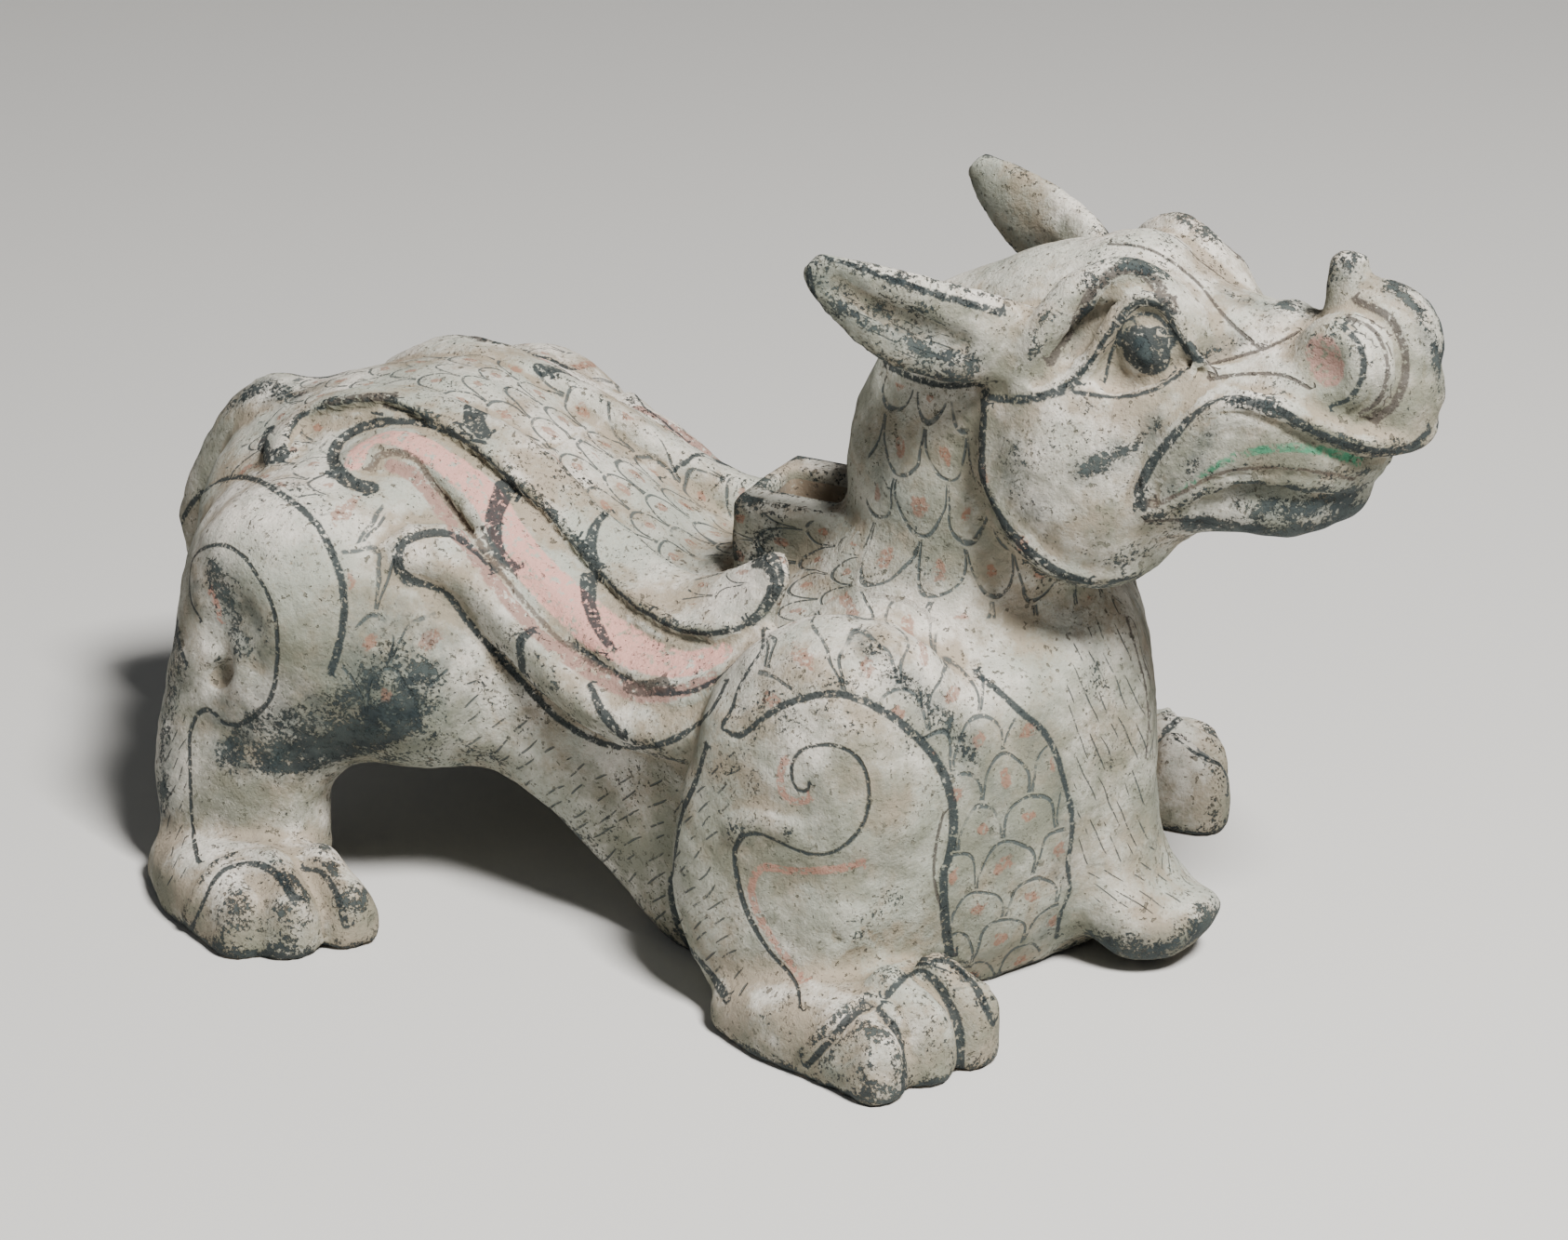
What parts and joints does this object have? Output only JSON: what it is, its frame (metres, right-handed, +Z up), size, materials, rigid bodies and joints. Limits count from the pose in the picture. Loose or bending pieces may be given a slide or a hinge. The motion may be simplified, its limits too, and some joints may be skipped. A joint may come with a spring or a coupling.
{
  "type": "tomb beast figure",
  "caption": "Crouching winged beast of painted earthenware: low chest, high haunches, raised long-jawed head, banded wings and an open post socket on the back.",
  "frame": {"origin": "on the standing plane, on the beast's middle plane, under the back wall of the post socket's hollow", "axes": "+X towards the head, +Y towards the beast's left side, +Z up"},
  "size_m": [0.4928, 0.3104, 0.2653],
  "materials": {
    "slip": "matt white slip over grey earthenware, with worn painted outlines"
  },
  "bodies": {
    "root": {"beast": "slip"}
  },
  "joints": []
}
